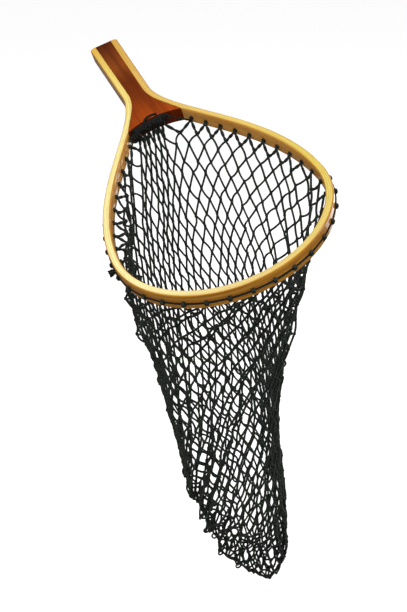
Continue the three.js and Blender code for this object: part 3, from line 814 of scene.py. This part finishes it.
def fold_widths(depth):
    """Relative widths of the meshes right of each column, drawn together at the folds, at a depth."""
    column = np.arange(COLUMNS)
    drawn = np.ones(COLUMNS)
    for middle, spread, left, start, end in FOLDS:
        beside = np.abs((column + 0.5 - middle + COLUMNS / 2) % COLUMNS - COLUMNS / 2)
        hangs = smooth((depth - start) / FOLD_FADE) * smooth((end + FOLD_FADE - depth) / FOLD_FADE)
        part = left + (1 - left) * smooth((beside - spread / 2) / FOLD_EDGE + 0.5)
        drawn = np.minimum(drawn, 1 + (part - 1) * hangs)
    return drawn


def spread_round(column, depth):
    """Places of columns round the bag, counted from its right end, as the folds space them at a depth."""
    half = COLUMNS // 2
    travel = np.concatenate([[0], np.cumsum(np.roll(fold_widths(depth), -RIGHT_COLUMN))])
    front = travel[:half + 1] / travel[half] * half
    back = half + (travel[half:] - travel[half]) / (travel[-1] - travel[half]) * half
    place = np.concatenate([front, back[1:]])
    return np.interp((column - RIGHT_COLUMN) % COLUMNS, np.arange(COLUMNS + 1), place)


def beside_right(place):
    return np.minimum(place % COLUMNS, COLUMNS - place % COLUMNS)


def both_walls(steps):
    """Columns of the front and of the back wall, counted from the right end of the bag."""
    return (RIGHT_COLUMN + steps) % COLUMNS, (RIGHT_COLUMN - steps) % COLUMNS


class Net:
    """Diamond net hung from the pins: knots in staggered rows, bars between them, and a seam below."""

    def __init__(self):
        self.top = net_pins()
        arm = self.top - bag_middle(0.0)
        self.ring = np.concatenate([arm, arm[:1]])
        self.travel = travelled(self.ring)
        self.lay_out()
        self.connect()

    def arms(self, column, depth):
        """Arms of columns from the bag's middle: as pinned at the mouth, spread evenly further down."""
        total = self.travel[-1]
        index = np.arange(COLUMNS + 1)
        pinned = np.interp(column % COLUMNS, index, self.travel)
        front = np.interp(FRONT_COLUMN, index, self.travel)
        spread = front - total / 4 + spread_round(column, depth) / COLUMNS * total
        aside = (spread - pinned + total / 2) % total - total / 2
        place = (pinned + aside * smooth(depth / EVEN_DEPTH)) % total
        return interp_rows(place, self.travel, self.ring)

    def lay_out(self):
        """First places of the knots, on the bag's shape, with as many rows as the longer wall needs."""
        steps = np.arange(COLUMNS // 2 + 1)
        column = np.arange(COLUMNS)
        ends = seam_at(beside_right(spread_round(column, 1.0)))
        reach = np.linalg.norm(self.top - ends, axis=1)
        front, back = both_walls(steps)
        longer = np.maximum(reach[front], reach[back])
        evened = np.convolve(np.pad(longer, 2, mode="edge"), np.ones(5) / 5, "valid")
        rows_needed = np.maximum(longer, evened) * (1 + ROWS_ADDED * steps / steps[-1]) / (BAR * ROW_FILL)
        self.rows = int(np.ceil(rows_needed.max())) + 1
        self.places = np.zeros((self.rows, COLUMNS, 3))
        self.used = np.zeros((self.rows, COLUMNS), bool)
        self.near_seam = np.zeros((self.rows, COLUMNS))
        for row in range(self.rows):
            half = 0.5 * (row % 2)
            pin = self.top * (1 - half) + np.roll(self.top, -1, 0) * half
            share = row / np.interp(beside_right(column + half - RIGHT_COLUMN), steps, rows_needed)
            self.used[row] = share <= LAST_ROW
            share = np.clip(share, 0, 1)
            level = share[self.used[row]].mean()
            arm = self.arms(column + half, level)
            seam = seam_at(beside_right(spread_round(column + half, 1.0)))
            z = pin[:, 2] + (seam[:, 2] - pin[:, 2]) * share
            depth = np.clip(depth_at(z), 0, LOWEST_SHAPE)
            arm = turned(arm, BAG_TURN * smooth((depth - TURN_FROM) / TURN_OVER))
            shape = bag_middle(depth) + arm * profile(BAG_TAPER, depth)[:, None]
            near_rim = np.clip(1 - share / RIM_TO, 0, 1)[:, None]
            near_seam = smooth((share - SEAM_FROM) / SEAM_OVER)[:, None]
            place = shape * (1 - near_rim) + pin * near_rim
            place = place * (1 - near_seam) + seam * near_seam
            place[:, 2] = z
            self.places[row] = place
            self.near_seam[row] = near_seam[:, 0]
        self.places[0] = self.top

    def connect(self):
        """Bars in four groups and widths in two, so that no knot is twice in a group."""
        index = np.arange(self.rows * COLUMNS).reshape(self.rows, COLUMNS)
        self.bars = []
        for parity, shifts in ((0, (0, -1)), (1, (0, 1))):
            row = np.arange(parity, self.rows - 1, 2)
            for shift in shifts:
                below = np.roll(index[row + 1], -shift, axis=1)
                both = self.used[row] & np.roll(self.used[row + 1], -shift, axis=1)
                self.bars.append((index[row][both], below[both]))
        self.starts, self.stops = (np.concatenate(side) for side in zip(*self.bars))
        self.widths = []
        for parity in (0, 1):
            column = np.arange(parity, COLUMNS, 2)
            beside = (column + 1) % COLUMNS
            both = self.used[1:, column] & self.used[1:, beside]
            self.widths.append((index[1:, column][both], index[1:, beside][both]))
        column = np.arange(COLUMNS)
        last = np.array([np.max(np.nonzero(self.used[:, k])[0]) for k in column])
        self.ends = last * COLUMNS + column
        place = spread_round(column + 0.5 * (last % 2), 1.0)
        self.places[last, column] = seam_at(beside_right(place))

    def mesh_widths(self, random):
        """Width that each mesh keeps: as laid out, but a little uneven."""
        gaps = np.linalg.norm(np.roll(self.places, -1, 1) - self.places, axis=-1)
        uneven = np.clip(1 + WIDTH_UNEVENNESS * random.standard_normal(gaps.shape), *WIDTH_LIMITS)
        return (gaps * uneven).ravel()

    def keep_off_hoop(self, knots):
        """Moves knots that have swung into the hoop back inside it."""
        local = to_frame(knots)
        distance, inset = outline.locate(local)
        short = np.clip(INNER_FACE + 2 * TWINE_RADIUS - inset, 0, None)
        short[np.abs(local[:, 2]) > HALF_DEPTH + 2 * TWINE_RADIUS] = 0
        normal = outline.at(distance, outline.normals)
        local[:, :2] -= normal * short[:, None]
        return to_row(local)

    def hang(self):
        """Lets the net hang: bars can't stretch, meshes keep their widths weakly, the seam is closed."""
        random = np.random.default_rng(SEED)
        widths = self.mesh_widths(random)
        target = self.places.reshape(-1, 3).copy()
        knots = target.copy()
        free = self.used.ravel().astype(float)
        free[:COLUMNS] = 0
        moving = free[:, None] > 0
        hold = SEAM_PULL * self.near_seam.reshape(-1, 1) ** 2 * moving
        knots += random.normal(0, FIRST_JITTER, knots.shape) * free[:, None]
        front, back = (self.ends[wall] for wall in both_walls(np.arange(1, COLUMNS // 2)))
        speed = np.zeros_like(knots)
        fall = np.array((0, 0, -FALL))
        upper = slice(COLUMNS, RIM_ROWS * COLUMNS)
        line = seam_at(np.linspace(0, COLUMNS / 2, 200))
        line = line[np.argsort(line[:, 0])]

        def draw(group, wanted, stretched, slack):
            a, b = group
            way = knots[b] - knots[a]
            length = np.linalg.norm(way, axis=1) + 1e-9
            excess = length - wanted
            share = np.where(excess > 0, stretched, slack) * excess / (length * (free[a] + free[b] + 1e-9))
            knots[a] += (free[a] * share)[:, None] * way
            knots[b] -= (free[b] * share)[:, None] * way

        for _ in range(HANG_STEPS):
            before = knots.copy()
            knots += (speed * KEPT_SPEED + fall) * moving
            knots[:, :2] += SHAPE_PULL * (target - knots)[:, :2] * moving
            knots += hold * (target - knots)
            knots[self.ends] += END_PULL * (target[self.ends] - knots[self.ends])
            for _ in range(HANG_PASSES):
                for group in self.widths:
                    draw(group, widths[group[0]], WIDTH_STIFFNESS, WIDTH_STIFFNESS)
                middle = (knots[front] + knots[back]) / 2
                for wall in (front, back):
                    knots[wall] += CLOSING_PULL * (middle - knots[wall])
                for group in self.bars:
                    draw(group, BAR, 1.0, SLACK_STIFFNESS)
            knots[upper] = self.keep_off_hoop(knots[upper])
            lowest = np.interp(knots[:, 0], line[:, 0], line[:, 2])
            knots[:, 2] = np.maximum(knots[:, 2], lowest)
            speed = knots - before
        self.knots = knots
        return self


def bowed(start, end, length, random, steps=5):
    """Paths between points, bowed where the cord between them is longer than the way."""
    way = end - start
    gap = np.linalg.norm(way, axis=1, keepdims=True)
    bow = np.sqrt(np.clip(length - gap, 0, None) * gap * 3 / 8)
    aside = random.normal(0, 1, way.shape) + (0, 0, -0.6)
    aside = unit(aside - way * (aside * way).sum(-1, keepdims=True) / gap ** 2)
    t = np.linspace(0, 1, steps)[None, :, None]
    line = start[:, None] + way[:, None] * t
    return line + (aside * (0.6 * bow + 0.25 * MM))[:, None] * (4 * t * (1 - t))


def level_arm(points, depth):
    """Level direction of points from the bag's middle at a depth."""
    arm = points - bag_middle(depth)
    arm[:, 2] = 0
    return unit(arm)


def knot_wraps(soup, centre, size):
    """Small wrapped knots: a turn and a half of twine round the meeting of four bars."""
    up = np.array((0.0, 0.0, 1.0))
    outward = level_arm(centre, depth_at(centre[:, 2]))
    across = np.cross(up, outward)
    t = np.linspace(0, 1, 13)[:, None]
    ring = across[:, None] * np.cos(3 * math.pi * t) + outward[:, None] * np.sin(3 * math.pi * t)
    soup.tubes(centre[:, None] + (ring + up * (2 * t - 1)) * size, size * 0.8)


def make_net():
    net = Net().hang()
    random = np.random.default_rng(SEED + 1)
    knots = net.knots
    below = net.starts >= COLUMNS
    bars = Soup()
    ways = bowed(knots[net.starts[below]], knots[net.stops[below]], TWINE_LENGTH, random)
    bars.tubes(ways, TWINE_RADIUS)
    chosen = np.nonzero(net.used.ravel() & (np.arange(len(knots)) >= COLUMNS))[0]
    half = len(chosen) // 2
    for name, part in (("net_knots_upper", chosen[:half]), ("net_knots_lower", chosen[half:])):
        soup = Soup()
        knot_wraps(soup, knots[part], KNOT_SIZE)
        piece = soup.piece(name, twine_black)
        hang_on(piece)
    twine = bars.piece("net_twine", twine_black)
    hang_on(twine)
    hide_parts("net_bag_upper", "net_bag_middle", "net_bag_lower", "net_bag_toe")
    make_selvage(net, random)
    make_seam(net, random)


def hang_on(piece):
    """Bakes the piece's placing into its mesh."""
    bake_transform(piece)


def make_selvage(net, random):
    """Doubled twine of the net's top row, with a bight through each hole and round the lacing."""
    soup = Soup()
    top = net.starts < COLUMNS
    start = net.knots[net.starts[top]]
    end = net.knots[net.stops[top]]
    side = unit(np.cross(end - start, level_arm(start, 0.0)))
    path = bowed(start, end, SELVAGE_LENGTH, random, 9)
    twist = np.cos(2 * math.pi * np.linspace(0, 1, 9) + 0.4)[:, None]
    for sign in (-1, 1):
        soup.tubes(path + sign * SELVAGE_SPREAD * side[:, None] * twist, SELVAGE_RADIUS)
    angle = np.radians(np.linspace(90, 270, 9))
    hairpin = np.stack([LACING_INSET + BIGHT_RADIUS * np.cos(angle), BIGHT_RADIUS * np.sin(angle)], 1)
    leg = np.array([
        (PIN_INSET, 1.0 * MM),
        (INNER_FACE, 1.05 * MM),
        (5 * MM, 1.05 * MM),
        (2 * MM, 1.3 * MM),
    ])
    route = np.concatenate([leg, hairpin, leg[::-1] * (1, -1)])
    for along in (-SELVAGE_SPREAD, SELVAGE_SPREAD):
        paths = [outline.place(hole, route[:, 0], GROOVE_Z + route[:, 1], along) for hole in holes]
        soup.tubes(to_row(np.array(paths)), SELVAGE_RADIUS, 8)
    piece = soup.piece("selvage_twine", twine_black)
    hang_on(piece)
    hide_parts("selvage_cord")


def make_seam(net, random):
    """Doubled seam along the bottom of the bag, its small loose loops and the knot at its corner."""
    soup = Soup()
    front, back = (net.knots[net.ends[wall]] for wall in both_walls(np.arange(COLUMNS // 2 + 1)))
    line = along_curve(spline((front + back) / 2, SEAM_POINTS), SEAM_POINTS)
    wave = np.linspace(0, 24 * math.pi, SEAM_POINTS)
    for phase in (0, math.pi):
        aside = np.stack([np.zeros_like(wave), np.sin(wave + phase), np.cos(wave + phase)], 1)
        soup.tube(line + SEAM_TWIST * aside, TWINE_RADIUS)
    turn = np.radians(np.linspace(-150, 150, 15))[:, None]
    for share in SEAM_LOOPS:
        index = int(share * (SEAM_POINTS - 1))
        ahead = unit(line[index + 1] - line[index - 1])
        out = unit(np.cross((0.0, 1.0, 0.0), ahead))
        out = out * (1 if out[2] < 0 else -1)
        size = (2.2 + 1.4 * random.random()) * MM
        loop = (1.1 + 1.25 * np.cos(turn)) * out + np.sin(turn) * ahead
        soup.tube(line[index] + loop * size, TWINE_RADIUS * 0.9)
    lowest = line[np.argmin(line[:, 2])]
    soup.tube(lowest + (0, 0, -1.5 * MM) + trefoil(2.6 * MM, 2.2 * MM), TWINE_RADIUS, 8)
    piece = soup.piece("bag_seam", twine_black)
    hang_on(piece)
    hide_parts("tail_knot")


def trefoil(radius, height, steps=48, open_angle=0.16):
    """Overhand knot in the plane of x and y, with its two ends cut short."""
    angle = np.linspace(open_angle, 2 * math.pi - open_angle, steps)
    x = np.sin(angle) + 2 * np.sin(2 * angle)
    y = np.cos(angle) - 2 * np.cos(2 * angle)
    return np.stack([x * radius / 3, y * radius / 3, -height / 2 * np.sin(3 * angle)], 1)


# Lacing, its knot and the throat lashing


def make_lacing():
    """Cord in the outer groove, with its ends led in through the outermost holes and under the lashing."""
    soup = Soup()
    distance = np.linspace(first_hole, outline.length - first_hole, 700)
    random = np.random.default_rng(SEED + 2)
    wobble = np.interp(distance, np.linspace(0, outline.length, 160), random.normal(0, 0.12 * MM, 160))
    groove = outline.place(distance[4:-4], LACING_INSET, GROOVE_Z + wobble[4:-4])
    ends = []
    for side, hole, meets in ((1, holes[0], groove[:1]), (-1, holes[-1], groove[-1:])):
        lead_x = LASHING_SHIFT + side * (LASHING_SPAN / 2 + 2.2 * MM)
        start = lashing_axis(np.array([lead_x - side * 12 * MM, lead_x]))
        turn = outline.place(hole, (INNER_FACE + 4 * MM, INNER_FACE, 4 * MM, 1.5 * MM), GROOVE_Z)
        bend = outline.place(hole + side * 1.2 * MM, LACING_INSET + 0.5 * MM, GROOVE_Z)
        ends.append(spline(np.concatenate([start, turn, bend[None], meets]), 40)[:-1])
    path = np.concatenate([ends[0], groove, ends[1][::-1]])
    soup.tube(to_row(path), LACING_RADIUS, 8)
    piece = soup.piece("lacing_cord_black", cord_black)
    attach(piece, "frame")
    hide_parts("lacing_cord")


def make_lacing_knot():
    """Knot of the lacing on the outside of the hoop, with its two cut ends."""
    low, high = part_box("lacing_knot")
    centre = to_frame((np.array(low) + np.array(high)) / 2)
    distance, _ = outline.locate(centre[None])
    x, y = outline.at(distance, outline.normals)[0]
    out = np.array((x, y, 0.0))
    ahead = np.array((-y, x, 0.0))
    up = np.array((0.0, 0.0, 1.0))
    shape = trefoil(2.7 * MM, 4.0 * MM, 60, 0.12)
    soup = Soup()
    path = shape[:, :1] * ahead + shape[:, 1:2] * up + shape[:, 2:] * out
    soup.tube(to_row(centre + path), 1.5 * MM, 8)
    for side, lift in ((1, -0.5), (-1, 0.7)):
        t = np.linspace(0, 1, 8)[:, None]
        tail = (ahead * side * 2 + out * 1.2) * MM + (ahead * side * 2.2 + up * lift * 2 + out * 1.6) * t * MM
        soup.tube(to_row(centre + tail), 1.0 * MM, 8)
    piece = soup.piece("lacing_knot_black", cord_black)
    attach(piece, "frame")
    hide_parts("lacing_knot")


def lashing_axis(x):
    reach = LASHING_RADIUS + LACING_RADIUS + 0.4 * MM
    return np.stack([x, throat_y(x) - reach, np.full_like(x, LASHING_Z)], -1)


def winding(random):
    """Cord wound round the axis of the lashing."""
    t = np.linspace(0, 1, LASHING_TURNS * 18)
    axis = lashing_axis(LASHING_SHIFT + LASHING_SPAN * (0.5 - t))
    ahead = unit(np.gradient(axis, axis=0))
    across = np.stack([-ahead[:, 1], ahead[:, 0], np.zeros_like(t)], 1)
    angle = 2 * math.pi * LASHING_TURNS * t[:, None]
    dents = random.normal(0, LASHING_ROUGHNESS, LASHING_TURNS * 2)
    rough = np.interp(t, np.linspace(0, 1, len(dents)), dents)
    spoke = across * np.sin(angle) + np.array((0, 0, 1)) * np.cos(angle)
    return axis + spoke * (LASHING_RADIUS + rough)[:, None]


def loose_turns(count, middle, reach, offset, random):
    """Loose turns of twine over the lashing, each at its own place, tilt and size."""
    turns = []
    for _ in range(count):
        x = middle + reach * random.uniform(-1, 1)
        axis = lashing_axis(np.array([x]))[0] + np.array(offset) * MM * random.uniform(0.3, 1.2)
        size = random.uniform(4.2, 5.4) * MM
        angle = random.uniform(0, 2 * math.pi) + np.linspace(0, random.uniform(1.1, 1.9) * math.pi, 14)
        lean = random.uniform(-6, 6) * MM
        along = lean * np.sin(angle + random.uniform(0, 6))
        turns.append(axis + np.stack([along, size * np.sin(angle), 0.85 * size * np.cos(angle)], 1))
    return turns


def make_lashing():
    """Cord wound over the gathered net and the lacing's ends across the throat, with a loose end."""
    random = np.random.default_rng(SEED + 3)
    soup = Soup()
    soup.tube(to_row(winding(random)), LACING_RADIUS, 8)
    for group in LOOSE_TURNS:
        for turn in loose_turns(*group, random):
            soup.tube(to_row(turn), TWINE_RADIUS)
    x = np.linspace(LASHING_SHIFT - LASHING_SPAN / 2, LASHING_SHIFT + LASHING_SPAN / 2, 24)
    for height in (-1.4 * MM, 1.4 * MM):
        soup.tube(to_row(lashing_axis(x) + (0, 0, height)), LACING_RADIUS, 8)
    end = spline(np.array(LASHING_TAIL) * MM, 30)
    soup.tube(to_row(along_curve(end, 24)), TWINE_RADIUS, 8)
    piece = soup.piece("throat_lashing_black", cord_black)
    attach(piece, "frame")
    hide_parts("throat_lashing")


make_plies()
make_core()
make_lacing()
make_lacing_knot()
make_lashing()
make_net()


# Stage


FLOOR_DROP = 90 * MM
FLOOR_RADIUS = 14.0
FLOOR_SIDES = 96
FLOOR_GLOW = 0.5
FLOOR_GLOSS = 0.18
WORLD_LIGHT = 0.52
WORLD_GLOSS = 0.1
# Lamps: name, place, where it aims, width and height, and power
LAMPS = [
    ("key", (-0.9, -1.3, 1.9), (0.0, -0.38, -0.15), (1.2, 1.2), 37),
    ("side", (1.9, -1.2, 0.5), (0.0, -0.38, -0.15), (0.5, 1.6), 18),
    ("rim", (1.36, 0.24, -0.42), (0.1, -0.5, -0.1), (1.6, 0.35), 6),
]
# Camera, from the hoop's and handle's edges in the photograph
CAMERA_PLACE = (-0.35683, -1.38234, 0.29875)
CAMERA_RIGHT = (0.93788, -0.34643, -0.01932)
CAMERA_DOWN = (-0.17008, -0.41050, -0.89586)
FOCAL_PIXELS = 1000
IMAGE_HEIGHT = 612
SENSOR = 36.0


def whiten(nodes):
    """Shows the floor white to the eye, keeps its shadow, and shows it darker in the varnish."""
    path = nodes.add("ShaderNodeLightPath").outputs
    power = nodes.math("MULTIPLY", path["Is Camera Ray"], FLOOR_GLOW)
    seen = nodes.add("ShaderNodeEmission", Strength=power).outputs[0]
    both = nodes.feed_all(nodes.add("ShaderNodeAddShader"), nodes.shader.outputs[0], seen)
    mirrored = nodes.add("ShaderNodeEmission", Strength=FLOOR_GLOSS).outputs[0]
    chosen = nodes.feed_all(nodes.add("ShaderNodeMixShader"), path["Is Glossy Ray"], both, mirrored)
    nodes.feed(nodes.tree.nodes["Material Output"], "Surface", chosen)


def make_floor():
    """Wide pale disc under the hanging bag."""
    angle = np.linspace(0, 2 * math.pi, FLOOR_SIDES, endpoint=False)
    z = np.full(FLOOR_SIDES, float(cad_box[0][2]) - FLOOR_DROP)
    rim = np.stack([FLOOR_RADIUS * np.cos(angle), FLOOR_RADIUS * np.sin(angle), z], 1)
    nodes = material_nodes("floor_white")
    white = nodes.finish(Base_Color=(0.86, 0.86, 0.86, 1), Roughness=0.9, Specular_IOR_Level=0.0)
    whiten(nodes)
    floor = show("floor", new_mesh("floor", rim, [list(range(FLOOR_SIDES))]), white, 180)


def make_world():
    """White to the eye, softer as a light, and dark in the varnish."""
    world = bpy.data.worlds.new("studio")
    bpy.context.scene.world = world
    nodes = Nodes(world)
    path = nodes.add("ShaderNodeLightPath").outputs
    seen = nodes.add("ShaderNodeMapRange", Value=path["Is Camera Ray"], To_Min=WORLD_LIGHT, To_Max=1.0)
    mirrored = nodes.add("ShaderNodeMix")
    for index, value in ((0, path["Is Glossy Ray"]), (2, seen.outputs["Result"]), (3, WORLD_GLOSS)):
        nodes.feed(mirrored, index, value)
    background = nodes.tree.nodes["Background"]
    nodes.feed(background, "Color", (1, 1, 1, 1))
    nodes.feed(background, "Strength", mirrored.outputs[0])


def put(name, data, place, *axes):
    """New object at a place, turned so that its own x, y and z lie along three axes."""
    item = new_object(name, data)
    turn = Matrix(np.stack(axes, 1).tolist()).to_4x4()
    item.matrix_world = Matrix.Translation(place) @ turn
    return item


def make_lamp(name, place, aim, size, power):
    lamp = bpy.data.lights.new(name, "AREA")
    lamp.shape = "RECTANGLE"
    lamp.size, lamp.size_y = size
    lamp.energy = power
    z = unit(np.array(place) - np.array(aim))
    x = unit(np.cross((0.0, 0.0, 1.0), z))
    put(name, lamp, place, x, np.cross(z, x), z)


def make_camera():
    camera = bpy.data.cameras.new("camera")
    camera.sensor_width = SENSOR
    camera.lens = FOCAL_PIXELS * SENSOR / IMAGE_HEIGHT
    camera.clip_start = 0.05
    camera.clip_end = 100
    right = unit(np.array(CAMERA_RIGHT))
    up = -unit(np.array(CAMERA_DOWN))
    bpy.context.scene.camera = put("camera", camera, CAMERA_PLACE, right, up, np.cross(right, up))


make_floor()
make_world()
for lamp in LAMPS:
    make_lamp(*lamp)
make_camera()
bpy.context.scene.view_settings.view_transform = "Standard"
